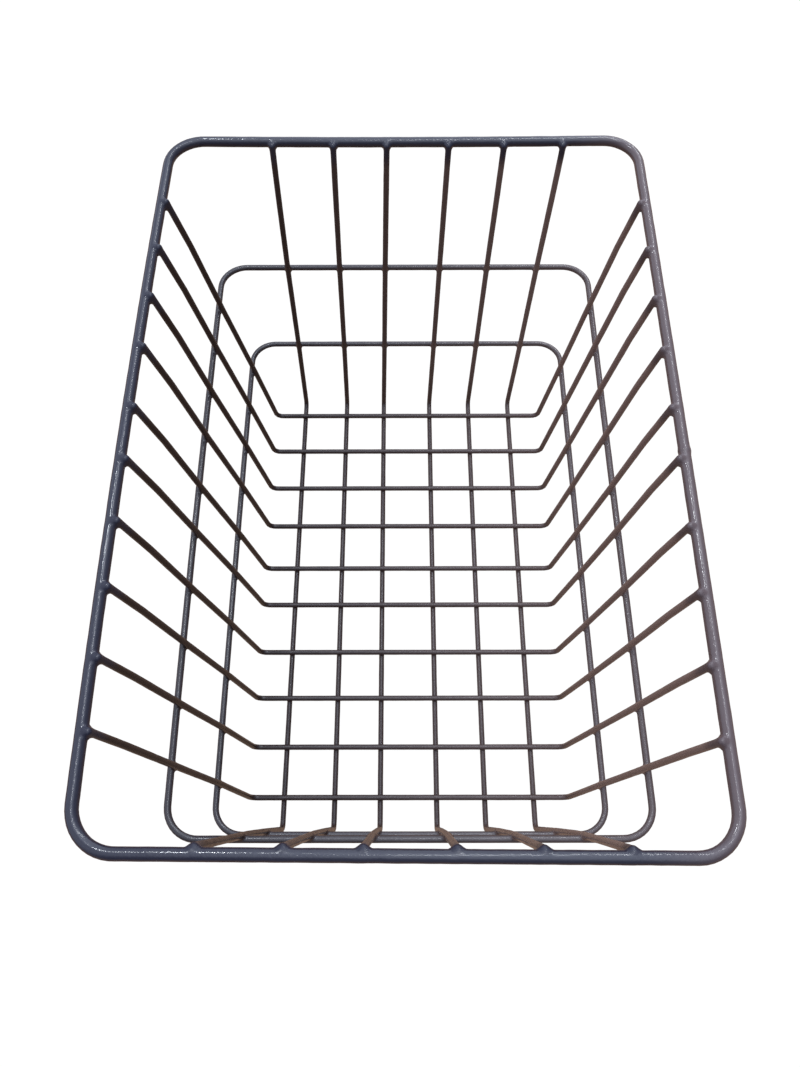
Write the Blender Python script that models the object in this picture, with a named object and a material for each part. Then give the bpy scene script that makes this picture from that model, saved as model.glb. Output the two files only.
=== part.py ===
"""Egg collection basket: an open rectangular basket of welded and coated wire.

Metres, +Z up. The basket's length runs along Y and its width along X. It stands on Z = 0,
and the origin is on that plane, under the middle of the rim.

Every piece is one bent wire. The long wires run under the cross wires, both turn up into
the walls and end on the inner side of the rim, and two hoops go round the outside of the
walls. Wires that are welded together are drawn WELD_GAP apart.
"""

import math

import bpy
from mathutils import Vector

# Rim: the thick wire round the mouth, measured along its centre line.
RIM_LENGTH = 0.360
RIM_WIDTH = 0.250
RIM_CORNER_RADIUS = 0.0175
BASKET_HEIGHT = 0.212

# Floor, measured between the corners that the wires' centre lines would make unbent.
FLOOR_LENGTH = 0.304
FLOOR_WIDTH = 0.194
BEND_RADIUS = 0.0045

# Hoops: the height of each one's centre line, and their corners.
MIDDLE_HOOP_HEIGHT = 0.1255
LOWER_HOOP_HEIGHT = 0.0605
HOOP_CORNER_RADIUS = 0.0150

# Diameters over the coating.
RIM_DIAMETER = 0.0054
HOOP_DIAMETER = 0.0032
WIRE_DIAMETER = 0.0030

# Grid: how far in from the floor's bends the outermost wires lie, and how far each wire
# strays from an even spacing. The lists also set the number of wires.
CROSS_WIRE_INSET = 0.0111
LONG_WIRE_INSET = 0.0168
CROSS_WIRE_DRIFT = (0.0, 0.0, 0.0005, 0.0005, 0.0030, -0.0010, 0.0005, 0.0, 0.0, 0.0)
LONG_WIRE_DRIFT = (-0.0005, 0.0, -0.0025, 0.0015, 0.0005, 0.0)

# Hand-made looseness: where the floor and its row of cross wires sit under the rim, how far
# the wires' upper ends lean along the rim, and how far the outermost long wires splay.
FLOOR_SHIFT_X = 0.0030
FLOOR_SHIFT_Y = -0.0055
CROSS_WIRE_SHIFT_Y = -0.0030
LEFT_END_LEAN = 0.0010
RIGHT_END_LEAN = -0.0020
FAR_END_LEAN = 0.0055
NEAR_END_LEAN = 0.0
OUTER_SPLAY = 0.0030

# Joints: the gap left between two welded wires, and how far a wall wire's end runs on
# past the point where it touches the rim.
WELD_GAP = 0.0003
END_OVERRUN = 0.0012

# Fineness: sides of a tube, and straight pieces in a bend and in a corner.
WIRE_SIDES = 12
RIM_SIDES = 16
BEND_STEPS = 5
CORNER_STEPS = 6

COATING_COLOUR = (0.045, 0.048, 0.058, 1.0)
COATING_ROUGHNESS = 0.35

QUARTER_TURN = math.pi / 2

# Heights of the centre lines. The long wires rest on a flat side, so their centre is the
# tube's inner radius above the ground.
LONG_WIRE_Z = WIRE_DIAMETER / 2 * math.cos(math.pi / WIRE_SIDES)
CROSS_WIRE_Z = LONG_WIRE_Z + WIRE_DIAMETER + WELD_GAP
RIM_Z = BASKET_HEIGHT - RIM_DIAMETER / 2

# Distances between the centre lines of two welded wires.
WIRE_TO_RIM = (WIRE_DIAMETER + RIM_DIAMETER) / 2 + WELD_GAP
WIRE_TO_HOOP = (WIRE_DIAMETER + HOOP_DIAMETER) / 2 + WELD_GAP


def clear_scene():
    """Remove every object that the scene holds."""
    for item in list(bpy.data.objects):
        bpy.data.objects.remove(item, do_unlink=True)


def new_collection(name):
    """Return a new collection, linked to the scene."""
    collection = bpy.data.collections.new(name)
    bpy.context.scene.collection.children.link(collection)
    return collection


def coating(name):
    """Return a dark plastic coating for one wire."""
    material = bpy.data.materials.new(name + "_coating")
    material.use_nodes = True
    shader = material.node_tree.nodes["Principled BSDF"]
    shader.inputs["Base Color"].default_value = COATING_COLOUR
    shader.inputs["Roughness"].default_value = COATING_ROUGHNESS
    shader.inputs["Metallic"].default_value = 0.0
    material.diffuse_color = COATING_COLOUR
    return material


def wire(name, points, place, diameter, sides, cyclic, collection):
    """Make one wire at its place: a round tube along points given from there.

    The tilt of half a side turns one of the section's flat sides straight down.
    """
    curve = bpy.data.curves.new(name, "CURVE")
    curve.dimensions = "3D"
    curve.twist_mode = "Z_UP"
    curve.bevel_depth = diameter / 2
    curve.bevel_resolution = (sides - 4) // 2
    curve.use_fill_caps = not cyclic
    spline = curve.splines.new("POLY")
    spline.points.add(len(points) - 1)
    for point, position in zip(spline.points, points):
        point.co = (*position, 1.0)
        point.tilt = math.pi / sides
    spline.use_cyclic_u = cyclic
    spline.use_smooth = True
    curve.materials.append(coating(name))
    piece = bpy.data.objects.new(name, curve)
    piece.location = place
    collection.objects.link(piece)
    return piece


def stations(floor_size, inset, drift):
    """Return the places of a row of floor wires, from the middle of the floor."""
    reach = floor_size / 2 - BEND_RADIUS - inset
    pitch = 2 * reach / (len(drift) - 1)
    return [-reach + pitch * index + stray for index, stray in enumerate(drift)]


class Wall:
    """A straight wall wire's line, seen along the wall, as distances out and up.

    It rises from the floor's corner and passes the rim's wire on its inner side.
    """

    def __init__(self, floor_out, floor_up, rim_out):
        self.floor_out = floor_out
        self.floor_up = floor_up
        span_out = rim_out - floor_out
        span_up = RIM_Z - floor_up
        span = math.hypot(span_out, span_up)
        self.slope = math.atan2(span_up, span_out) + math.asin(WIRE_TO_RIM / span)
        self.length = math.sqrt(span**2 - WIRE_TO_RIM**2) + END_OVERRUN

    def end(self):
        """Return how far out and up the wall wire's upper end is."""
        out = self.floor_out + self.length * math.cos(self.slope)
        up = self.floor_up + self.length * math.sin(self.slope)
        return out, up

    def hoop_out(self, height):
        """Return how far out a hoop lies that touches the wall's outside at a height."""
        rise = (height - self.floor_up) / math.tan(self.slope)
        return self.floor_out + rise + WIRE_TO_HOOP / math.sin(self.slope)


def left_wall():
    return Wall(FLOOR_WIDTH / 2 - FLOOR_SHIFT_X, CROSS_WIRE_Z, RIM_WIDTH / 2)


def right_wall():
    return Wall(FLOOR_WIDTH / 2 + FLOOR_SHIFT_X, CROSS_WIRE_Z, RIM_WIDTH / 2)


def far_wall():
    return Wall(FLOOR_LENGTH / 2 + FLOOR_SHIFT_Y, LONG_WIRE_Z, RIM_LENGTH / 2)


def near_wall():
    return Wall(FLOOR_LENGTH / 2 - FLOOR_SHIFT_Y, LONG_WIRE_Z, RIM_LENGTH / 2)


def corner_arc(centre_x, centre_y, radius, start):
    """Return points round a quarter turn that begins at the angle start."""
    points = []
    for step in range(CORNER_STEPS + 1):
        angle = start + QUARTER_TURN * step / CORNER_STEPS
        x = centre_x + radius * math.cos(angle)
        y = centre_y + radius * math.sin(angle)
        points.append((x, y, 0.0))
    return points


def rounded_loop(left, right, near, far, radius):
    """Return a rounded rectangle whose sides lie at these distances from the middle."""
    left_x = radius - left
    right_x = right - radius
    near_y = radius - near
    far_y = far - radius
    points = corner_arc(right_x, near_y, radius, -QUARTER_TURN)
    points += corner_arc(right_x, far_y, radius, 0.0)
    points += corner_arc(left_x, far_y, radius, QUARTER_TURN)
    points += corner_arc(left_x, near_y, radius, 2 * QUARTER_TURN)
    return points


def bend(before, corner, after, radius):
    """Return points round the arc that rounds off a corner of a wire."""
    towards_before = (before - corner).normalized()
    towards_after = (after - corner).normalized()
    half_angle = towards_before.angle(towards_after) / 2
    middle_way = (towards_before + towards_after).normalized()
    centre = corner + middle_way * (radius / math.sin(half_angle))
    start = corner + towards_before * (radius / math.tan(half_angle)) - centre
    end = corner + towards_after * (radius / math.tan(half_angle)) - centre
    directions = [start.slerp(end, step / BEND_STEPS) for step in range(BEND_STEPS + 1)]
    return [centre + direction * radius for direction in directions]


def u_wire_points(first_end, first_corner, second_corner, second_end):
    """Return the points of a wire that runs down one wall, along the floor and up again."""
    return [
        first_end,
        *bend(first_end, first_corner, second_corner, BEND_RADIUS),
        *bend(first_corner, second_corner, second_end, BEND_RADIUS),
        second_end,
    ]


def add_rim(collection):
    half_width = RIM_WIDTH / 2
    half_length = RIM_LENGTH / 2
    points = rounded_loop(half_width, half_width, half_length, half_length, RIM_CORNER_RADIUS)
    wire("rim_wire", points, (0, 0, RIM_Z), RIM_DIAMETER, RIM_SIDES, True, collection)


def add_hoop(name, height, collection):
    points = rounded_loop(
        left_wall().hoop_out(height),
        right_wall().hoop_out(height),
        near_wall().hoop_out(height),
        far_wall().hoop_out(height),
        HOOP_CORNER_RADIUS,
    )
    wire(name, points, (0, 0, height), HOOP_DIAMETER, WIRE_SIDES, True, collection)


def add_cross_wires(collection):
    """Make the wires that run across the floor and up the two long walls."""
    left_out, left_up = left_wall().end()
    right_out, right_up = right_wall().end()
    points = u_wire_points(
        Vector((-left_out, LEFT_END_LEAN, left_up - CROSS_WIRE_Z)),
        Vector((-left_wall().floor_out, 0, 0)),
        Vector((right_wall().floor_out, 0, 0)),
        Vector((right_out, RIGHT_END_LEAN, right_up - CROSS_WIRE_Z)),
    )
    places = stations(FLOOR_LENGTH, CROSS_WIRE_INSET, CROSS_WIRE_DRIFT)
    for index, along in enumerate(places):
        name = f"cross_wire_{index + 1:02d}"
        place = (0, CROSS_WIRE_SHIFT_Y + along, CROSS_WIRE_Z)
        wire(name, points, place, WIRE_DIAMETER, WIRE_SIDES, False, collection)


def add_long_wires(collection):
    """Make the wires that run along the floor and up the two end walls."""
    near_out, near_up = near_wall().end()
    far_out, far_up = far_wall().end()
    places = stations(FLOOR_WIDTH, LONG_WIRE_INSET, LONG_WIRE_DRIFT)
    splays = [-OUTER_SPLAY, *[0.0] * (len(places) - 2), OUTER_SPLAY]
    for index, (along, splay) in enumerate(zip(places, splays)):
        points = u_wire_points(
            Vector((NEAR_END_LEAN + splay, -near_out, near_up - LONG_WIRE_Z)),
            Vector((0, -near_wall().floor_out, 0)),
            Vector((0, far_wall().floor_out, 0)),
            Vector((FAR_END_LEAN + splay, far_out, far_up - LONG_WIRE_Z)),
        )
        name = f"long_wire_{index + 1}"
        place = (FLOOR_SHIFT_X + along, 0, LONG_WIRE_Z)
        wire(name, points, place, WIRE_DIAMETER, WIRE_SIDES, False, collection)


def main():
    clear_scene()
    collection = new_collection("egg_collection_basket")
    add_rim(collection)
    add_hoop("middle_hoop", MIDDLE_HOOP_HEIGHT, collection)
    add_hoop("lower_hoop", LOWER_HOOP_HEIGHT, collection)
    add_cross_wires(collection)
    add_long_wires(collection)


main()
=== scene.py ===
"""Looks for the egg collection basket: the coated wires, a pale floor, soft light and a camera.

Metres, +Z up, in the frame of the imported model. Each packed wire is replaced by a finer one
that follows the same line: a round tube whose coating swells a little here and there and
runs into the coating of the wires it is welded to.
"""

import math

import bpy
import numpy as np
from mathutils import Matrix, Vector, noise


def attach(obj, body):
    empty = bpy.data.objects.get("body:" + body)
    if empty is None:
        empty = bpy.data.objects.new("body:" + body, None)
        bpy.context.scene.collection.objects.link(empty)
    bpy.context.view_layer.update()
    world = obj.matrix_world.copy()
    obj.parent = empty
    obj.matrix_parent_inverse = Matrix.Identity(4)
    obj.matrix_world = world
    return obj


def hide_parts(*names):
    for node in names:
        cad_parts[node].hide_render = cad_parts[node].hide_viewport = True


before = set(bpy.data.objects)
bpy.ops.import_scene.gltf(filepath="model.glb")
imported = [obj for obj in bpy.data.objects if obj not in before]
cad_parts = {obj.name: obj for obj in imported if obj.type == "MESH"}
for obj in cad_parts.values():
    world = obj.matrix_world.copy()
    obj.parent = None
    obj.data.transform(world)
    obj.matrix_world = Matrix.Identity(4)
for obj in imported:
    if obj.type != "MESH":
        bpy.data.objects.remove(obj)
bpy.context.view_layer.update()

# ---- sizes ----

# Sizes of the basket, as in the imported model. The two DRIFT lists are the places that a
# fitting program found for the wires in the photo, rounded to half a millimetre.
RIM_LENGTH = 0.360
RIM_WIDTH = 0.250
RIM_CORNER_RADIUS = 0.0175
BASKET_HEIGHT = 0.212
FLOOR_LENGTH = 0.304
FLOOR_WIDTH = 0.194
BEND_RADIUS = 0.0045
MIDDLE_HOOP_HEIGHT = 0.1255
LOWER_HOOP_HEIGHT = 0.0605
HOOP_CORNER_RADIUS = 0.0150
RIM_DIAMETER = 0.0054
HOOP_DIAMETER = 0.0032
WIRE_DIAMETER = 0.0030
CROSS_WIRE_INSET = 0.0111
LONG_WIRE_INSET = 0.0168
CROSS_WIRE_DRIFT = (0.0, 0.0, 0.0005, 0.0005, 0.0030, -0.0010, 0.0005, 0.0, 0.0, 0.0)
LONG_WIRE_DRIFT = (-0.0005, 0.0, -0.0025, 0.0015, 0.0005, 0.0)
FLOOR_SHIFT_X = 0.0030
FLOOR_SHIFT_Y = -0.0055
CROSS_WIRE_SHIFT_Y = -0.0030
LEFT_END_LEAN = 0.0010
RIGHT_END_LEAN = -0.0020
FAR_END_LEAN = 0.0055
NEAR_END_LEAN = 0.0
OUTER_SPLAY = 0.0030
WELD_GAP = 0.0003
PACKED_SIDES = 12

# How far a wall wire's end runs on past the point where it touches the rim: on the long
# sides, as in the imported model, and at the two ends, where it stops short.
SIDE_OVERRUN = 0.0012
END_OVERRUN = -0.0004

# How far welding sinks a hoop into the wall wires that it crosses.
WELD_SINK = 0.0005

LONG_WIRE_Z = WIRE_DIAMETER / 2 * math.cos(math.pi / PACKED_SIDES)
CROSS_WIRE_Z = LONG_WIRE_Z + WIRE_DIAMETER + WELD_GAP
RIM_Z = BASKET_HEIGHT - RIM_DIAMETER / 2
WIRE_TO_RIM = (WIRE_DIAMETER + RIM_DIAMETER) / 2 + WELD_GAP
WIRE_TO_HOOP = (WIRE_DIAMETER + HOOP_DIAMETER) / 2 - WELD_SINK

# How the hand-bent basket strays from the even one, in half millimetres. These values sum
# up what a fitting program found in the photo.
# The left side bows out, most at the rim, and its near end is pinched in.
LEFT_BOW = 0.0020
LEFT_NEAR_PINCH = 0.0010
# At the right side's near end the hoops stand out and the rim stands in.
RIGHT_NEAR_HOOPS_OUT = 0.0015
RIGHT_NEAR_RIM_IN = 0.0020
# The middle hoop stands out at the far end, and on the left towards it. The rim stands in
# at the far end, and is dented there.
MIDDLE_HOOP_OUT = 0.0010
FAR_RIM_IN = 0.0005
FAR_RIM_DENT = 0.0010
# The hoops stand in at the near end, where the rim stands in on the left, out on the right.
NEAR_HOOPS_IN = 0.0015
NEAR_RIM_IN = 0.0005
NEAR_RIM_SKEW = 0.0010

# The cross wires' ends lean away from the camera: most at the near corners, and a little at
# the far right one. Each wire leans by this share of what the last one from there does.
NEAR_CORNER_LEAN = 0.0025
FAR_RIGHT_LEAN = 0.0015
LEAN_FADE = 0.6

# Ends that are welded out of step, by the wire's number: how far along the rim. These are
# the fitting program's own results, rounded to half a millimetre.
LEFT_ENDS_OFF = {5: -0.0025, 6: -0.0015}
NEAR_ENDS_OFF = {1: -0.0010, 2: -0.0025, 3: -0.0010, 4: -0.0010, 5: 0.0015, 6: 0.0010}
FAR_ENDS_OFF = {2: -0.0010, 4: -0.0010, 5: -0.0005, 6: -0.0015}

# How far the outermost long wires spread sideways, from their near floor corners on.
NEAR_SPREAD = 0.0010

# How a lean grows up a wall: evenly at the near end, and more towards the rim elsewhere.
NEAR_LEAN_POWER = 1.0
LEAN_POWER = 1.5

# Welding presses a wall wire's end towards the rim: how far, and over what height. At the
# near end the hoops sink into the wall wires by this much more than elsewhere.
SIDE_PRESS = 0.0011
NEAR_PRESS = 0.0019
FAR_PRESS = 0.0008
PRESS_HEIGHT = 0.030
NEAR_PRESS_HEIGHT = 0.100
NEAR_WELD_SINK = 0.0008

# Heights at which the strays are given; the floor, where there are none, comes first.
STRAY_HEIGHTS = (CROSS_WIRE_Z, LOWER_HOOP_HEIGHT, MIDDLE_HOOP_HEIGHT, RIM_Z)

# Fineness of a wire's line: the step between its points, and steps in a bend and a corner.
CENTRE_STEP = 0.0003
BEND_STEPS = 16
CORNER_STEPS = 24

# ---- lines of the wires ----


class Wall:
    """A straight wall wire's line, seen along the wall, as distances out and up."""

    def __init__(self, floor_out, floor_up, rim_out, overrun):
        self.floor_out = floor_out
        self.floor_up = floor_up
        span_out = rim_out - floor_out
        span_up = RIM_Z - floor_up
        span = math.hypot(span_out, span_up)
        self.slope = math.atan2(span_up, span_out) + math.asin(WIRE_TO_RIM / span)
        self.length = math.sqrt(span**2 - WIRE_TO_RIM**2) + overrun

    def end(self):
        """Return how far out and up the wall wire's upper end is."""
        out = self.floor_out + self.length * math.cos(self.slope)
        up = self.floor_up + self.length * math.sin(self.slope)
        return out, up

    def hoop_out(self, height):
        """Return how far out a hoop lies that is welded to the wall at a height."""
        rise = (height - self.floor_up) / math.tan(self.slope)
        return self.floor_out + rise + WIRE_TO_HOOP / math.sin(self.slope)


LEFT_WALL = Wall(FLOOR_WIDTH / 2 - FLOOR_SHIFT_X, CROSS_WIRE_Z, RIM_WIDTH / 2, SIDE_OVERRUN)
RIGHT_WALL = Wall(FLOOR_WIDTH / 2 + FLOOR_SHIFT_X, CROSS_WIRE_Z, RIM_WIDTH / 2, SIDE_OVERRUN)
FAR_WALL = Wall(FLOOR_LENGTH / 2 + FLOOR_SHIFT_Y, LONG_WIRE_Z, RIM_LENGTH / 2, END_OVERRUN)
NEAR_WALL = Wall(FLOOR_LENGTH / 2 - FLOOR_SHIFT_Y, LONG_WIRE_Z, RIM_LENGTH / 2, END_OVERRUN)


def stations(floor_size, inset, drift):
    """Return the places of a row of floor wires, from the middle of the floor."""
    reach = floor_size / 2 - BEND_RADIUS - inset
    pitch = 2 * reach / (len(drift) - 1)
    return [-reach + pitch * index + stray for index, stray in enumerate(drift)]


def unit(vector):
    return vector / np.linalg.norm(vector)


def bend(before, corner, after):
    """Return points round the arc that rounds off a corner of a wire."""
    towards_before = unit(before - corner)
    towards_after = unit(after - corner)
    half_angle = math.acos(float(towards_before @ towards_after)) / 2
    centre = corner + unit(towards_before + towards_after) * (BEND_RADIUS / math.sin(half_angle))
    start = corner + towards_before * (BEND_RADIUS / math.tan(half_angle)) - centre
    end = corner + towards_after * (BEND_RADIUS / math.tan(half_angle)) - centre
    sweep = math.pi - 2 * half_angle
    points = []
    for step in range(BEND_STEPS + 1):
        share = step / BEND_STEPS
        weight = math.sin((1 - share) * sweep), math.sin(share * sweep)
        points.append(centre + (start * weight[0] + end * weight[1]) / math.sin(sweep))
    return points


def u_line(first_end, first_corner, second_corner, second_end):
    """Return the line of a wire that runs down one wall, along the floor and up again."""
    ends = [np.array(p, float) for p in (first_end, first_corner, second_corner, second_end)]
    line = [ends[0], *bend(*ends[:3]), *bend(*ends[1:]), ends[3]]
    return np.array(line)


def loop_line(left, right, near, far, radius, height):
    """Return the line of a rounded rectangle whose sides lie at these distances."""
    corners = (
        (right - radius, radius - near, -0.5 * math.pi),
        (right - radius, far - radius, 0.0),
        (radius - left, far - radius, 0.5 * math.pi),
        (radius - left, radius - near, math.pi),
    )
    points = []
    for x, y, start in corners:
        for step in range(CORNER_STEPS + 1):
            angle = start + 0.5 * math.pi * step / CORNER_STEPS
            points.append((x + radius * math.cos(angle), y + radius * math.sin(angle), height))
    return np.array(points)


def resample(line, closed):
    """Return points at a small even step along a line."""
    if closed:
        line = np.vstack([line, line[:1]])
    lengths = np.r_[0.0, np.cumsum(np.linalg.norm(np.diff(line, axis=0), axis=1))]
    count = round(lengths[-1] / CENTRE_STEP)
    places = np.linspace(0.0, lengths[-1], count + 1)
    points = np.stack([np.interp(places, lengths, line[:, axis]) for axis in range(3)], -1)
    return points[:-1] if closed else points


def by_height(height, lower, middle, rim):
    """Return a value given at the hoops and the rim, which is nothing at the floor."""
    return np.interp(height, STRAY_HEIGHTS, (0.0, lower, middle, rim))


def left_stray(height, along):
    """Return how far the left side stands out at a place from -1 (near) to 1 (far)."""
    near = (1 - along) / 2
    bow = LEFT_BOW * np.clip(height / RIM_Z, 0.0, 1.0) * (1 - along**2)
    pinch = by_height(height, LEFT_NEAR_PINCH, LEFT_NEAR_PINCH, LEFT_NEAR_PINCH) * near
    return bow - pinch + by_height(height, 0.0, MIDDLE_HOOP_OUT, 0.0) * (1 - near)


def right_stray(height, along):
    out = by_height(height, RIGHT_NEAR_HOOPS_OUT, RIGHT_NEAR_HOOPS_OUT, -RIGHT_NEAR_RIM_IN)
    return out * ((1 - along) / 2) ** 2


def far_stray(height, across):
    """Return how far the far end stands out at a place from -1 (left) to 1 (right)."""
    dent = by_height(height, 0.0, 0.0, FAR_RIM_DENT) * (1 - across**2)
    return by_height(height, 0.0, MIDDLE_HOOP_OUT, -FAR_RIM_IN) - dent


def near_stray(height, across):
    skew = by_height(height, 0.0, 0.0, NEAR_RIM_SKEW) * across
    return skew - by_height(height, NEAR_HOOPS_IN, NEAR_HOOPS_IN, NEAR_RIM_IN)


def strayed(points):
    """Return the points moved as the hand-bent basket strays; neighbours move together."""
    x, y, z = points.T
    across = np.clip(x / (RIM_WIDTH / 2), -1.0, 1.0)
    along = np.clip(y / (RIM_LENGTH / 2), -1.0, 1.0)
    shift_x = right_stray(z, along) * np.clip(across, 0, 1)
    shift_x = shift_x - left_stray(z, along) * np.clip(-across, 0, 1)
    shift_y = far_stray(z, across) * np.clip(along, 0, 1) ** 2
    shift_y = shift_y - near_stray(z, across) * np.clip(-along, 0, 1) ** 2
    return points + np.stack([shift_x, shift_y, np.zeros_like(z)], -1)


def leaned(points, axis, low_lean, high_lean, base, other):
    """Slide the upper ends of a U wire along the walls and press them into the rim.

    The wire slides along axis, and other is the axis across the walls.
    """
    near = (points[:, 1] < 0) & (other == 1)
    power = np.where(near, NEAR_LEAN_POWER, LEAN_POWER)
    height = np.clip((points[:, 2] - base) / (RIM_Z - base), 0.0, None) ** power
    lean = np.where(points[:, other] < 0, low_lean, high_lean)
    press = SIDE_PRESS if other == 0 else np.where(near, NEAR_PRESS, FAR_PRESS)
    reach = np.where(near, NEAR_PRESS_HEIGHT, PRESS_HEIGHT)
    share = np.clip((points[:, 2] - RIM_Z) / reach + 1, 0.0, 1.0)
    points = points.copy()
    points[:, axis] += lean * height
    points[:, other] += np.sign(points[:, other]) * press * share
    sink = np.interp(points[:, 2], STRAY_HEIGHTS, (0.0, NEAR_WELD_SINK, NEAR_WELD_SINK, 0.0))
    points[:, other] -= np.where(near, sink, 0.0)
    return points


# Directions that a wire's ring of vertices can start from.
WIDTHWAYS = (1, 0, 0)
LENGTHWAYS = (0, 1, 0)
UPWARDS = (0, 0, 1)


class Wire:
    """A wire: its line, its radius, whether it is closed, its rings' start and its slot."""

    def __init__(self, name, points, diameter, closed, side, slot):
        self.name = name
        self.points = points
        self.radius = diameter / 2
        self.closed = closed
        self.side = np.array(side, float)
        self.slot = slot


def make_loops():
    """Return the rim and the two hoops."""
    half = RIM_WIDTH / 2, RIM_WIDTH / 2, RIM_LENGTH / 2, RIM_LENGTH / 2
    line = resample(loop_line(*half, RIM_CORNER_RADIUS, RIM_Z), True)
    loops = [Wire("rim_wire", strayed(line), RIM_DIAMETER, True, UPWARDS, "rim_coating")]
    for name, height in (("middle_hoop", MIDDLE_HOOP_HEIGHT), ("lower_hoop", LOWER_HOOP_HEIGHT)):
        sides = [w.hoop_out(height) for w in (LEFT_WALL, RIGHT_WALL, NEAR_WALL, FAR_WALL)]
        line = resample(loop_line(*sides, HOOP_CORNER_RADIUS, height), True)
        loops.append(Wire(name, strayed(line), HOOP_DIAMETER, True, UPWARDS, "hoop_coating"))
    return loops


def make_cross_wires():
    """Return the wires that run across the floor and up the two long walls."""
    wires = []
    left_out, left_up = LEFT_WALL.end()
    right_out, right_up = RIGHT_WALL.end()
    for index, along in enumerate(stations(FLOOR_LENGTH, CROSS_WIRE_INSET, CROSS_WIRE_DRIFT)):
        y = CROSS_WIRE_SHIFT_Y + along
        line = u_line(
            (-left_out, y + LEFT_END_LEAN, left_up),
            (-LEFT_WALL.floor_out, y, CROSS_WIRE_Z),
            (RIGHT_WALL.floor_out, y, CROSS_WIRE_Z),
            (right_out, y + RIGHT_END_LEAN, right_up),
        )
        line = resample(line, False)
        from_near = NEAR_CORNER_LEAN * LEAN_FADE**index
        from_far = FAR_RIGHT_LEAN * LEAN_FADE ** (len(CROSS_WIRE_DRIFT) - 1 - index)
        left_lean = from_near + LEFT_ENDS_OFF.get(index + 1, 0.0)
        line = leaned(line, 1, left_lean, from_near + from_far, CROSS_WIRE_Z, 0)
        name = f"cross_wire_{index + 1:02d}"
        wires.append(Wire(name, strayed(line), WIRE_DIAMETER, False, LENGTHWAYS, "wire_coating"))
    return wires


def make_long_wires():
    """Return the wires that run along the floor and up the two end walls."""
    wires = []
    near_out, near_up = NEAR_WALL.end()
    far_out, far_up = FAR_WALL.end()
    places = stations(FLOOR_WIDTH, LONG_WIRE_INSET, LONG_WIRE_DRIFT)
    splays = [-OUTER_SPLAY, *[0.0] * (len(places) - 2), OUTER_SPLAY]
    for index, (along, splay) in enumerate(zip(places, splays)):
        x = FLOOR_SHIFT_X + along
        near_x = x + NEAR_SPREAD * along / places[-1]
        line = u_line(
            (near_x + NEAR_END_LEAN + splay, -near_out, near_up),
            (near_x, -NEAR_WALL.floor_out, LONG_WIRE_Z),
            (x, FAR_WALL.floor_out, LONG_WIRE_Z),
            (x + FAR_END_LEAN + splay, far_out, far_up),
        )
        line = resample(line, False)
        near_lean = NEAR_ENDS_OFF.get(index + 1, 0.0)
        line = leaned(line, 0, near_lean, FAR_ENDS_OFF.get(index + 1, 0.0), LONG_WIRE_Z, 1)
        name = f"long_wire_{index + 1}"
        wires.append(Wire(name, strayed(line), WIRE_DIAMETER, False, WIDTHWAYS, "wire_coating"))
    return wires


# ---- coated tubes ----

# Mesh fineness: sides of a tube, the step between its rings away from and near a weld,
# how far from a weld the fine step reaches, and how many rings round off a cut end.
RIM_SIDES = 40
HOOP_SIDES = 24
WIRE_SIDES = 24
COARSE_STEP = 0.0024
FINE_STEP = 0.0005
WELD_REACH = 0.0060
END_RINGS = 5

# Coating at the welds: how wide the smooth run from one wire into the other is, and how
# deep a tube may swell into its neighbour.
CROSSING_BLEND = 0.0020
RIM_BLEND = 0.0024
SWELL_LIMIT = 0.0016

# Making the web round a weld: how often a ray is lengthened, the step that slopes are
# measured with, and how deep the web is where its own normals have taken over.
MARCH_STEPS = 12
GRADIENT_STEP = 0.00004
WEB_FADE = 0.00003
TINY = 1e-12

# Finding the welds: two wires are welded where their surfaces come this close. Every few
# points of each line are compared, only wires whose boxes come near each other are, and
# more than this many steps between compared points part one weld from the next.
JOINT_SLACK = 0.0012
JOINT_STRIDE = 4
JOINT_BOX_GAP = 0.01
JOINT_PART = 8

# How many line points ahead and behind give a line's direction, and how fast the rings'
# step grows away from a weld.
TANGENT_REACH = 6
COARSENING = 0.5

# Uneven coating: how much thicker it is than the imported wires', and the swellings' height
# and size. A finer swelling, with a seed of its own, is added to the coarse one, and each
# seed moves the noise by a shift of its own.
EXTRA_COATING = {"rim_coating": -0.00010, "hoop_coating": 0.00012, "wire_coating": 0.00015}
RIM_SWELL = 0.00008
WIRE_SWELL = 0.00005
SWELL_SIZE = 0.0070
FINE_SWELL_SIZE = 0.0019
FINE_SWELL_SHARE = 0.35
FINE_SEED_STEP = 40
SEED_SHIFT = (7.3, 3.1, 5.7)

# Where the rim's wire is joined to a loop: a slight ridge on the right side.
RIM_SEAM_RIGHT_OF = 0.1
RIM_SEAM_Y = -0.012
RIM_SEAM_SWELL = 0.00030
RIM_SEAM_LENGTH = 0.0016


def joint_places(wires):
    """Return, for each wire, its welds as (own index, other wire, other index)."""
    found = {wire.name: [] for wire in wires}
    skip = JOINT_STRIDE
    for first_index, first in enumerate(wires):
        for second in wires[first_index + 1 :]:
            a = first.points[::skip]
            b = second.points[::skip]
            gap = max((a.min(0) - b.max(0)).max(), (b.min(0) - a.max(0)).max())
            if gap > JOINT_BOX_GAP:
                continue
            square = (a**2).sum(1)[:, None] + (b**2).sum(1)[None] - 2 * a @ b.T
            nearest = square.argmin(1)
            distance = np.sqrt(np.maximum(square[np.arange(len(a)), nearest], 0.0))
            close = distance < first.radius + second.radius + JOINT_SLACK
            runs = np.flatnonzero(close)
            if not len(runs):
                continue
            groups = np.split(runs, np.flatnonzero(np.diff(runs) > JOINT_PART) + 1)
            for group in groups:
                best = group[distance[group].argmin()]
                found[first.name].append((best * skip, second, nearest[best] * skip))
                found[second.name].append((nearest[best] * skip, first, best * skip))
    return found


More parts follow.
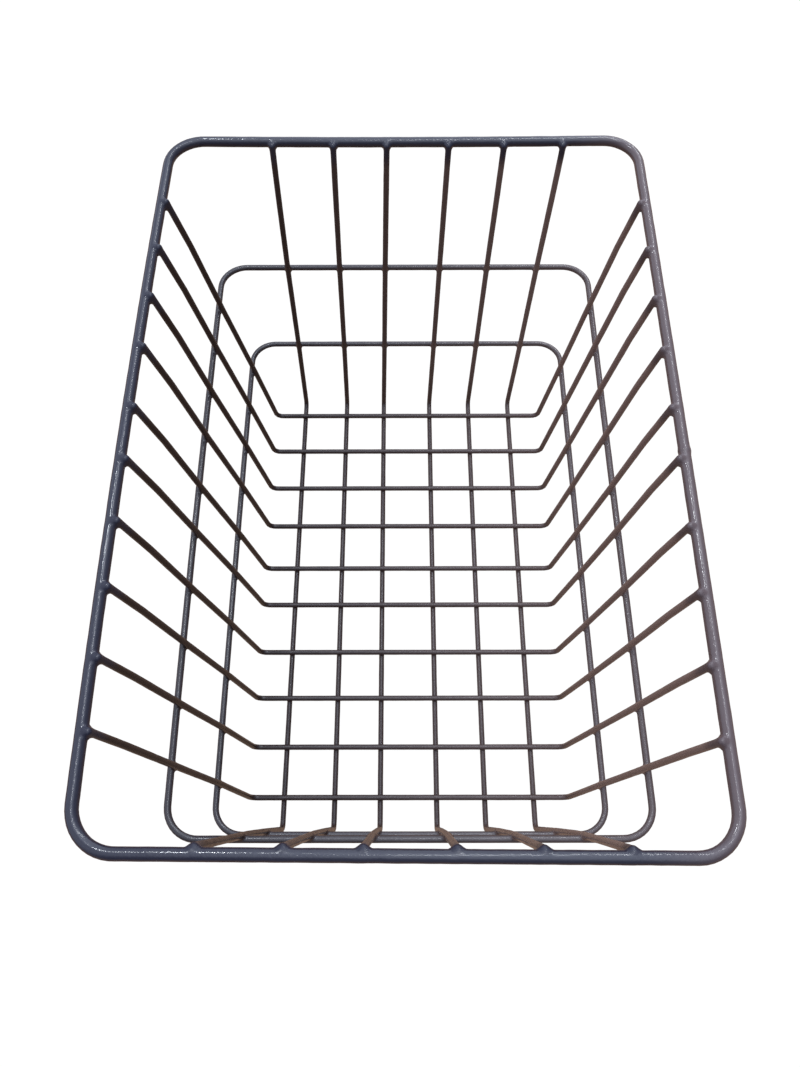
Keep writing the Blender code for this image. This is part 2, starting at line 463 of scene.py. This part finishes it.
def ring_places(wire, joints):
    """Return the line indices, as fractions, where the tube gets its rings."""
    count = len(wire.points)
    total = count if wire.closed else count - 1
    marks = np.array([own for own, _, _ in joints], float)
    places = []
    place = 0.0
    while place < total:
        places.append(place)
        gap = np.abs(marks - place)
        if wire.closed:
            gap = np.minimum(gap, count - gap)
        away = gap.min() * CENTRE_STEP - WELD_REACH
        step = FINE_STEP + np.clip(away, 0.0, 1.0) * COARSENING
        place += min(step, COARSE_STEP) / CENTRE_STEP
    if not wire.closed:
        places.append(float(total))
    return np.array(places)


def tube_rays(wire, places, sides):
    """Return the origins and directions of a tube's vertices, ring by ring."""
    count = len(wire.points)
    low = np.floor(places).astype(int)
    share = (places - low)[:, None]
    following = (low + 1) % count if wire.closed else np.minimum(low + 1, count - 1)
    centre = wire.points[low % count] * (1 - share) + wire.points[following] * share
    if wire.closed:
        ahead = wire.points[(low + TANGENT_REACH) % count]
        behind = wire.points[(low - TANGENT_REACH) % count]
    else:
        ahead = wire.points[np.minimum(low + TANGENT_REACH, count - 1)]
        behind = wire.points[np.maximum(low - TANGENT_REACH, 0)]
    tangent = ahead - behind
    tangent /= np.linalg.norm(tangent, axis=1, keepdims=True)
    side = wire.side - tangent * (tangent @ wire.side)[:, None]
    side /= np.linalg.norm(side, axis=1, keepdims=True)
    normal = np.cross(tangent, side)
    angle = np.linspace(0, 2 * math.pi, sides, endpoint=False)[None, :, None]
    around = side[:, None] * np.cos(angle) + normal[:, None] * np.sin(angle)
    origin = np.repeat(centre[:, None], sides, 1)
    if wire.closed:
        return origin, around
    rounding = np.radians(np.linspace(0, 90, END_RINGS + 2)[1:-1])
    start = [around[0] * math.cos(a) - tangent[0] * math.sin(a) for a in rounding[::-1]]
    end = [around[-1] * math.cos(a) + tangent[-1] * math.sin(a) for a in rounding]
    around = np.concatenate([np.array(start), around, np.array(end)])
    first = np.repeat(origin[:1], END_RINGS, 0)
    last = np.repeat(origin[-1:], END_RINGS, 0)
    return np.concatenate([first, origin, last]), around


def line_distance(points, line):
    """Return each point's distance to a densely pointed line."""
    square = (points**2).sum(1)[:, None] + (line**2).sum(1)[None] - 2 * points @ line.T
    return np.sqrt(np.maximum(square.min(1), 0.0))


def blended(first, second, width):
    """Return the smooth union of two distances."""
    overlap = np.maximum(width - np.abs(first - second), 0.0) / width
    return np.minimum(first, second) - overlap**2 * width / 4


def nearby(wire, index, reach):
    """Return the part of a wire's line round an index."""
    half = int(reach / CENTRE_STEP)
    if wire.closed:
        return wire.points[np.arange(index - half, index + half + 1) % len(wire.points)]
    return wire.points[max(index - half, 0) : index + half + 1]


def swelling(points, size, seed):
    """Return smooth noise between about -1 and 1 at the points."""
    shift = Vector([seed * step for step in SEED_SHIFT])
    return np.array([noise.noise(Vector(p) / size + shift) for p in points])


def uneven_radius(wire, origin, direction, swell, seed):
    """Return the coated wire's radius at each vertex, away from its welds."""
    base = origin + direction * wire.radius
    uneven = swelling(base, SWELL_SIZE, seed)
    uneven = uneven + FINE_SWELL_SHARE * swelling(base, FINE_SWELL_SIZE, seed + FINE_SEED_STEP)
    radius = wire.radius + EXTRA_COATING[wire.slot] + swell * uneven
    if wire.name == "rim_wire":
        on_right = origin[:, 0] > RIM_SEAM_RIGHT_OF
        seam = np.exp(-(((origin[:, 1] - RIM_SEAM_Y) / RIM_SEAM_LENGTH) ** 2))
        radius = radius + RIM_SEAM_SWELL * seam * on_right
    return radius


def web(wire, joint, start, ray, radius):
    """Return how far rays reach to the coating's web round a weld, and its normals."""
    own, other, index = joint
    width = RIM_BLEND if "rim_wire" in (wire.name, other.name) else CROSSING_BLEND
    own_line = nearby(wire, own, 2 * WELD_REACH)
    other_line = nearby(other, index, 2 * WELD_REACH)

    def field(points, own_distance):
        other_distance = line_distance(points, other_line)
        return blended(own_distance - radius, other_distance - other.radius, width)

    reach = radius.copy()
    limit = radius + SWELL_LIMIT
    for _ in range(MARCH_STEPS):
        value = field(start + ray * reach[:, None], reach)
        reach = np.minimum(reach + np.maximum(-value, 0.0), limit)
    point = start + ray * reach[:, None]
    slope = np.zeros_like(point)
    for axis in range(3):
        offset = np.zeros(3)
        offset[axis] = GRADIENT_STEP
        ahead, behind = point + offset, point - offset
        slope[:, axis] = field(ahead, line_distance(ahead, own_line))
        slope[:, axis] -= field(behind, line_distance(behind, own_line))
    slope /= np.maximum(np.linalg.norm(slope, axis=1, keepdims=True), TINY)
    return reach, slope


def tube_faces(rings, sides, closed):
    """Return a tube's faces, with a flat cap at each end if it is open."""
    faces = []
    for ring in range(rings if closed else rings - 1):
        here = ring * sides
        there = (ring + 1) % rings * sides
        for step in range(sides):
            following = (step + 1) % sides
            faces.append((here + step, there + step, there + following, here + following))
    if not closed:
        last = (rings - 1) * sides
        faces.append(tuple(range(sides)))
        faces.append(tuple(last + step for step in reversed(range(sides))))
    return faces


def coated_tube(wire, joints, sides, swell, seed):
    """Make the mesh of one coated wire, blended into the wires it is welded to."""
    origin, direction = tube_rays(wire, ring_places(wire, joints), sides)
    rings = origin.shape[0]
    origin = origin.reshape(-1, 3)
    direction = direction.reshape(-1, 3)
    radius = uneven_radius(wire, origin, direction, swell, seed)
    reached = radius.copy()
    normals = direction.copy()
    web_share = np.zeros(len(radius))
    for joint in joints:
        middle = wire.points[min(joint[0], len(wire.points) - 1)]
        near = np.linalg.norm(origin - middle, axis=1) < WELD_REACH
        reach, slope = web(wire, joint, origin[near], direction[near], radius[near])
        reached[near] = np.maximum(reached[near], reach)
        strength = np.clip((reach - radius[near]) / WEB_FADE, 0.0, 1.0)[:, None]
        normals[near] = normals[near] * (1 - strength) + slope * strength
        web_share[near] = np.maximum(web_share[near], strength[:, 0])
    vertices = origin + direction * reached[:, None]
    faces = tube_faces(rings, sides, wire.closed)

    mesh = bpy.data.meshes.new(wire.name + "_coated")
    mesh.from_pydata(vertices.tolist(), [], faces)
    mesh.shade_smooth()
    if mesh_volume(vertices, faces) < 0:
        mesh.flip_normals()
    shape_normals = np.empty(len(vertices) * 3, np.float32)
    mesh.vertices.foreach_get("normal", shape_normals)
    shape_normals = shape_normals.reshape(-1, 3)
    share = web_share[:, None]
    final = shape_normals * (1 - share) + normals * share
    final /= np.linalg.norm(final, axis=1, keepdims=True)
    mesh.normals_split_custom_set_from_vertices(final.tolist())
    return mesh


def mesh_volume(vertices, faces):
    """Return a tube's volume from its four-sided faces, below nothing if it is inside out."""
    quads = np.array([f for f in faces if len(f) == 4])
    a, b, c, d = (vertices[quads[:, k]] for k in range(4))
    return float((a * (np.cross(b, c) + np.cross(c, d))).sum() / 6)


# ---- materials ----

RIM_COLOUR = (0.018, 0.018, 0.032)
HOOP_COLOUR = (0.025, 0.020, 0.024)
WIRE_COLOUR = (0.021, 0.013, 0.013)

# The colour wanders between a darker and a lighter share of itself, in patches of a size.
DARKER_SHARE = 0.80
LIGHTER_SHARE = 1.22
TINT_SIZE = 0.018
NOISE_LOW = 0.3
NOISE_HIGH = 0.7

# The heights between which a wall wire's top end takes on the rim's colour and the rim's share of
# painted haze:
# painted light from above on the wires' tops, which also gives the weld nubs the rim's colour.
PAINTED_TOP_LIGHT_SPAN = (0.196, 0.206)

# Painted light: a warm haze, painted into the colour, that grows with X: where it starts and is full,
# and how sharply it grows.
# Its share of the colour also grows with height, from the floor up to a wall's own share.
PAINTED_HAZE_COLOUR = (0.215, 0.145, 0.130)
PAINTED_HAZE_SPAN = (-0.10, 0.125)
RIM_PAINTED_HAZE_SPAN = (0.080, 0.125)
PAINTED_HAZE_POWER = 1.6
PAINTED_HAZE_RISE_SPAN = (0.004, 0.040)
RIM_PAINTED_HAZE = 0.42

# Specks of dust: their colour, how much of it they show, and where in the noise they are.
SPECK_COLOUR = (0.07, 0.065, 0.075)
SPECK_SHARE = 0.5
SPECK_SPAN = (0.66, 0.78)

# Roughness wanders round its own value, and two bumps make the orange peel and the grain.
SHEEN_SIZE = 0.004
SHEEN_BELOW = 0.06
SHEEN_ABOVE = 0.08
PEEL_SIZE = 0.0013
PEEL_DEPTH = 0.0002
GRAIN_SIZE = 0.00035
GRAIN_DEPTH = 0.00006
GRAIN_SHARE = 0.5


class Paint:
    """A material's nodes, and short ways to add those that the coatings use."""

    def __init__(self, name):
        self.material = bpy.data.materials.new(name)
        self.material.use_nodes = True
        self.nodes = self.material.node_tree.nodes
        self.links = self.material.node_tree.links
        self.shader = self.nodes["Principled BSDF"]
        self.place = self.nodes.new("ShaderNodeTexCoord").outputs["Object"]
        parts = self.nodes.new("ShaderNodeSeparateXYZ")
        self.links.new(self.place, parts.inputs[0])
        self.across = parts.outputs["X"]
        self.height = parts.outputs["Z"]

    def noise(self, size, detail):
        texture = self.nodes.new("ShaderNodeTexNoise")
        texture.inputs["Scale"].default_value = 1 / size
        texture.inputs["Detail"].default_value = detail
        self.links.new(self.place, texture.inputs["Vector"])
        return texture.outputs["Fac"]

    def ramp(self, source, stops):
        """Return a colour looked up in two stops, each a position and a colour."""
        node = self.nodes.new("ShaderNodeValToRGB")
        for element, (position, tone) in zip(node.color_ramp.elements, stops):
            element.position = position
            element.color = (*tone, 1.0)
        self.links.new(source, node.inputs["Fac"])
        return node.outputs["Color"]

    def mapped(self, source, span, results=(0.0, 1.0), steps="LINEAR"):
        """Return the source with one span of values turned into another."""
        node = self.nodes.new("ShaderNodeMapRange")
        node.interpolation_type = steps
        node.inputs["From Min"].default_value, node.inputs["From Max"].default_value = span
        node.inputs["To Min"].default_value, node.inputs["To Max"].default_value = results
        self.links.new(source, node.inputs["Value"])
        return node.outputs["Result"]

    def painted_haze_growth(self, span):
        """Return how full the painted haze of light is at this X, before any share of it is taken."""
        node = self.nodes.new("ShaderNodeMath")
        node.operation = "POWER"
        node.inputs[1].default_value = PAINTED_HAZE_POWER
        self.links.new(self.mapped(self.across, span), node.inputs[0])
        return node.outputs[0]

    def product(self, first, second=None, factor=1.0):
        """Return the first value times the second, or times a factor if there is none."""
        node = self.nodes.new("ShaderNodeMath")
        node.operation = "MULTIPLY"
        node.inputs[1].default_value = factor
        self.links.new(first, node.inputs[0])
        if second is not None:
            self.links.new(second, node.inputs[1])
        return node.outputs[0]

    def covered(self, under, colour, share):
        """Return a colour with a share of another one laid over it."""
        node = self.nodes.new("ShaderNodeMix")
        node.data_type = "RGBA"
        node.inputs["B"].default_value = (*colour, 1.0)
        self.links.new(share, node.inputs["Factor"])
        self.links.new(under, node.inputs["A"])
        return node.outputs["Result"]

    def bump(self, size, detail, strength, depth):
        node = self.nodes.new("ShaderNodeBump")
        node.inputs["Strength"].default_value = strength
        node.inputs["Distance"].default_value = depth
        self.links.new(self.noise(size, detail), node.inputs["Height"])
        return node


def add_colour(paint, colour, painted_haze_shares):
    """Colour a coating, its painted haze of light and its dust specks."""
    darker = tuple(DARKER_SHARE * c for c in colour)
    lighter = tuple(LIGHTER_SHARE * c for c in colour)
    tint = paint.ramp(paint.noise(TINT_SIZE, 4.0), ((NOISE_LOW, darker), (NOISE_HIGH, lighter)))
    # Painted light from above: a wall wire's top end takes the rim's colour and the rim's share of
    # the painted haze.
    top = paint.mapped(paint.height, PAINTED_TOP_LIGHT_SPAN, steps="SMOOTHSTEP")
    top_lit = paint.covered(tint, RIM_COLOUR, top)

    # Painted light: a warm haze that grows with X, and with height up to a wall's own share.
    rise = paint.mapped(paint.height, PAINTED_HAZE_RISE_SPAN, painted_haze_shares)
    painted_haze_share = paint.nodes.new("ShaderNodeMix")
    paint.links.new(top, painted_haze_share.inputs["Factor"])
    paint.links.new(paint.product(paint.painted_haze_growth(PAINTED_HAZE_SPAN), rise), painted_haze_share.inputs["A"])
    rim_painted_haze_share = paint.product(paint.painted_haze_growth(RIM_PAINTED_HAZE_SPAN), factor=RIM_PAINTED_HAZE)
    paint.links.new(rim_painted_haze_share, painted_haze_share.inputs["B"])
    hazed = paint.covered(top_lit, PAINTED_HAZE_COLOUR, painted_haze_share.outputs["Result"])

    speck_stops = ((SPECK_SPAN[0], (0.0,) * 3), (SPECK_SPAN[1], (SPECK_SHARE,) * 3))
    specks = paint.ramp(paint.noise(GRAIN_SIZE, 2.0), speck_stops)
    dusted = paint.covered(hazed, SPECK_COLOUR, specks)
    paint.links.new(dusted, paint.shader.inputs["Base Color"])


def add_sheen(paint, roughness):
    """Let a coating's roughness wander a little round its own value."""
    results = roughness - SHEEN_BELOW, roughness + SHEEN_ABOVE
    sheen = paint.mapped(paint.noise(SHEEN_SIZE, 3.0), (NOISE_LOW, NOISE_HIGH), results)
    paint.links.new(sheen, paint.shader.inputs["Roughness"])


def add_bumps(paint, peel):
    """Give a coating orange peel with a finer grain on it."""
    coarse = paint.bump(PEEL_SIZE, 2.0, peel, PEEL_DEPTH)
    fine = paint.bump(GRAIN_SIZE, 1.0, peel * GRAIN_SHARE, GRAIN_DEPTH)
    paint.links.new(coarse.outputs["Normal"], fine.inputs["Normal"])
    paint.links.new(fine.outputs["Normal"], paint.shader.inputs["Normal"])


def coating_material(name, colour, roughness, peel, shine, painted_haze_shares):
    """Return a coating; the last argument gives the painted haze of light its share of the colour at
    the floor and on a wall.
    """
    paint = Paint(name)
    add_colour(paint, colour, painted_haze_shares)
    add_sheen(paint, roughness)
    add_bumps(paint, peel)
    paint.shader.inputs["Metallic"].default_value = 0.0
    paint.shader.inputs["Specular IOR Level"].default_value = shine
    return paint.material


# Each coating's pair gives its share of painted light, a warm haze, at the floor and on a wall.
def rim_coating():
    painted_haze_shares = RIM_PAINTED_HAZE, RIM_PAINTED_HAZE
    return coating_material("rim_coating_satin", RIM_COLOUR, 0.14, peel=0.30, shine=0.5, painted_haze_shares=painted_haze_shares)


def hoop_coating():
    painted_haze_shares = 0.30, 0.30
    return coating_material("hoop_coating_satin", HOOP_COLOUR, 0.22, peel=0.28, shine=0.5, painted_haze_shares=painted_haze_shares)


def wire_coating():
    painted_haze_shares = 0.38, 0.85
    return coating_material("wire_coating_satin", WIRE_COLOUR, 0.26, peel=0.30, shine=0.34, painted_haze_shares=painted_haze_shares)


# ---- stage ----

WHITE = (1.0, 1.0, 1.0, 1.0)

# The floor: how far it reaches, the glow and the grey that the camera sees, and the tan
# light that it throws up on to the wires.
FLOOR_REACH = 6.0
FLOOR_GLOW = 0.97
FLOOR_GREY = (0.05, 0.05, 0.05, 1.0)
FLOOR_BOUNCE = (0.40, 0.27, 0.20, 1.0)


def add_floor():
    size = FLOOR_REACH
    mesh = bpy.data.meshes.new("floor")
    corners = [(-size, -size, 0), (size, -size, 0), (size, size, 0), (-size, size, 0)]
    mesh.from_pydata(corners, [], [(0, 1, 2, 3)])
    floor = bpy.data.objects.new("floor", mesh)
    bpy.context.scene.collection.objects.link(floor)
    material = bpy.data.materials.new("floor_paper")
    material.use_nodes = True
    nodes = material.node_tree.nodes
    links = material.node_tree.links
    nodes.clear()
    output = nodes.new("ShaderNodeOutputMaterial")
    seen = nodes.new("ShaderNodeLightPath")
    shown = nodes.new("ShaderNodeBsdfDiffuse")
    shown.inputs["Color"].default_value = FLOOR_GREY
    lift = nodes.new("ShaderNodeEmission")
    lift.inputs["Strength"].default_value = FLOOR_GLOW
    both = nodes.new("ShaderNodeAddShader")
    bounce = nodes.new("ShaderNodeEmission")
    bounce.inputs["Color"].default_value = FLOOR_BOUNCE
    choice = nodes.new("ShaderNodeMixShader")
    links.new(shown.outputs[0], both.inputs[0])
    links.new(lift.outputs[0], both.inputs[1])
    links.new(seen.outputs["Is Camera Ray"], choice.inputs[0])
    links.new(bounce.outputs[0], choice.inputs[1])
    links.new(both.outputs[0], choice.inputs[2])
    links.new(choice.outputs[0], output.inputs[0])
    mesh.materials.append(material)


# Brightness of the room by direction, seen from the basket: from the near side (-1) to the
# far side (1), and from the left (-1) to the right (1).
ROOM_BY_DEPTH = (
    (-0.95, 0.10),
    (-0.72, 0.28),
    (-0.42, 0.80),
    (0.05, 0.92),
    (0.50, 1.0),
    (0.95, 0.7),
)
ROOM_BY_SIDE = (
    (-0.9, 0.40),
    (-0.65, 0.50),
    (-0.34, 0.40),
    (-0.09, 0.92),
    (0.25, 1.0),
    (0.60, 0.34),
    (0.85, 0.14),
)
ROOM_COLOUR = (0.77, 0.85, 1.0, 1.0)
ROOM_STRENGTH = 3.2


def direction_ramp(nodes, links, source, stops):
    """Return brightness looked up by one part of a direction."""
    place = nodes.new("ShaderNodeMapRange")
    place.inputs["From Min"].default_value = -1.0
    place.inputs["From Max"].default_value = 1.0
    links.new(source, place.inputs["Value"])
    ramp = nodes.new("ShaderNodeValToRGB")
    elements = ramp.color_ramp.elements
    while len(elements) < len(stops):
        elements.new(0.5)
    for element, (position, value) in zip(elements, stops):
        element.position = (position + 1) / 2
        element.color = (value, value, value, 1.0)
    links.new(place.outputs["Result"], ramp.inputs["Fac"])
    return ramp.outputs["Color"]


def add_world():
    """Surround the basket with a graded room, which the camera itself sees as plain white."""
    world = bpy.data.worlds.new("studio")
    bpy.context.scene.world = world
    world.use_nodes = True
    nodes = world.node_tree.nodes
    links = world.node_tree.links
    nodes.clear()
    output = nodes.new("ShaderNodeOutputWorld")
    seen = nodes.new("ShaderNodeLightPath")
    direction = nodes.new("ShaderNodeSeparateXYZ")
    links.new(nodes.new("ShaderNodeTexCoord").outputs["Generated"], direction.inputs[0])
    room = nodes.new("ShaderNodeBackground")
    room.inputs["Color"].default_value = ROOM_COLOUR
    strength = nodes.new("ShaderNodeMath")
    strength.operation = "MULTIPLY"
    by_depth = direction_ramp(nodes, links, direction.outputs["Y"], ROOM_BY_DEPTH)
    by_side = direction_ramp(nodes, links, direction.outputs["X"], ROOM_BY_SIDE)
    links.new(by_depth, strength.inputs[0])
    links.new(by_side, strength.inputs[1])
    scale = nodes.new("ShaderNodeMath")
    scale.operation = "MULTIPLY"
    scale.inputs[1].default_value = ROOM_STRENGTH
    links.new(strength.outputs[0], scale.inputs[0])
    links.new(scale.outputs[0], room.inputs["Strength"])
    white = nodes.new("ShaderNodeBackground")
    white.inputs["Color"].default_value = WHITE
    white.inputs["Strength"].default_value = 1.0
    choice = nodes.new("ShaderNodeMixShader")
    links.new(seen.outputs["Is Camera Ray"], choice.inputs[0])
    links.new(room.outputs[0], choice.inputs[1])
    links.new(white.outputs[0], choice.inputs[2])
    links.new(choice.outputs[0], output.inputs[0])


def add_light(name, place, aim, size, power, colour):
    light = bpy.data.lights.new(name, "AREA")
    light.shape = "RECTANGLE"
    light.size, light.size_y = size
    light.energy = power
    light.color = colour
    lamp = bpy.data.objects.new(name, light)
    lamp.location = place
    lamp.rotation_euler = (Vector(aim) - Vector(place)).to_track_quat("-Z", "Y").to_euler()
    lamp.visible_camera = False
    bpy.context.scene.collection.objects.link(lamp)


def add_lights():
    """Light the wires from a long thin strip, for their thin highlights, and a small lamp."""
    add_light(
        "strip",
        place=(0.50, 1.20, 2.20),
        aim=(0.10, 0.30, 0.20),
        size=(0.03, 3.0),
        power=13.0,
        colour=(0.92, 0.96, 1.0),
    )
    add_light(
        "lamp",
        place=(-0.45, 0.55, 1.60),
        aim=(0.00, 0.05, 0.20),
        size=(0.05, 0.05),
        power=4.0,
        colour=(0.88, 0.94, 1.0),
    )


# ---- camera ----

# The photo's own viewpoint: downward pitch, turn to the right, roll, and the focal length
# as a share of the picture's width.
CAMERA_PLACE = (-0.0018, -0.1898, 0.5258)
CAMERA_PITCH = math.radians(66.438)
CAMERA_YAW = math.radians(-0.073)
CAMERA_ROLL = math.radians(-0.098)
FOCAL_SHARE = 1.0134
SENSOR_WIDTH = 36.0
CLIP_START = 0.01


def add_camera():
    ahead = Vector((0, math.cos(CAMERA_PITCH), -math.sin(CAMERA_PITCH)))
    up = Vector((0, math.sin(CAMERA_PITCH), math.cos(CAMERA_PITCH)))
    right = Vector((1, 0, 0))
    forward = math.cos(CAMERA_YAW) * ahead + math.sin(CAMERA_YAW) * right
    right = math.cos(CAMERA_YAW) * right - math.sin(CAMERA_YAW) * ahead
    across = math.cos(CAMERA_ROLL) * right + math.sin(CAMERA_ROLL) * up
    upward = math.cos(CAMERA_ROLL) * up - math.sin(CAMERA_ROLL) * right
    data = bpy.data.cameras.new("camera")
    data.sensor_fit = "HORIZONTAL"
    data.sensor_width = SENSOR_WIDTH
    data.lens = SENSOR_WIDTH * FOCAL_SHARE
    data.clip_start = CLIP_START
    camera = bpy.data.objects.new("camera", data)
    turn = Matrix((across, upward, -forward)).transposed().to_4x4()
    camera.matrix_world = Matrix.Translation(CAMERA_PLACE) @ turn
    bpy.context.scene.collection.objects.link(camera)
    bpy.context.scene.camera = camera


# ---- pieces ----


def add_wires():
    """Replace each packed wire by its coated one."""
    wires = make_loops() + make_cross_wires() + make_long_wires()
    joints = joint_places(wires)
    materials = {
        "rim_coating": rim_coating(),
        "hoop_coating": hoop_coating(),
        "wire_coating": wire_coating(),
    }
    sides = {"rim_coating": RIM_SIDES, "hoop_coating": HOOP_SIDES, "wire_coating": WIRE_SIDES}
    for seed, wire in enumerate(wires):
        swell = RIM_SWELL if wire.slot == "rim_coating" else WIRE_SWELL
        mesh = coated_tube(wire, joints[wire.name], sides[wire.slot], swell, seed)
        piece = bpy.data.objects.new(wire.name + "_coated", mesh)
        bpy.context.scene.collection.objects.link(piece)
        mesh.materials.append(materials[wire.slot])
        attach(piece, "root")
        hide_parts(wire.name)


add_camera()
add_floor()
add_world()
add_lights()
add_wires()
bpy.context.scene.view_settings.view_transform = "Standard"
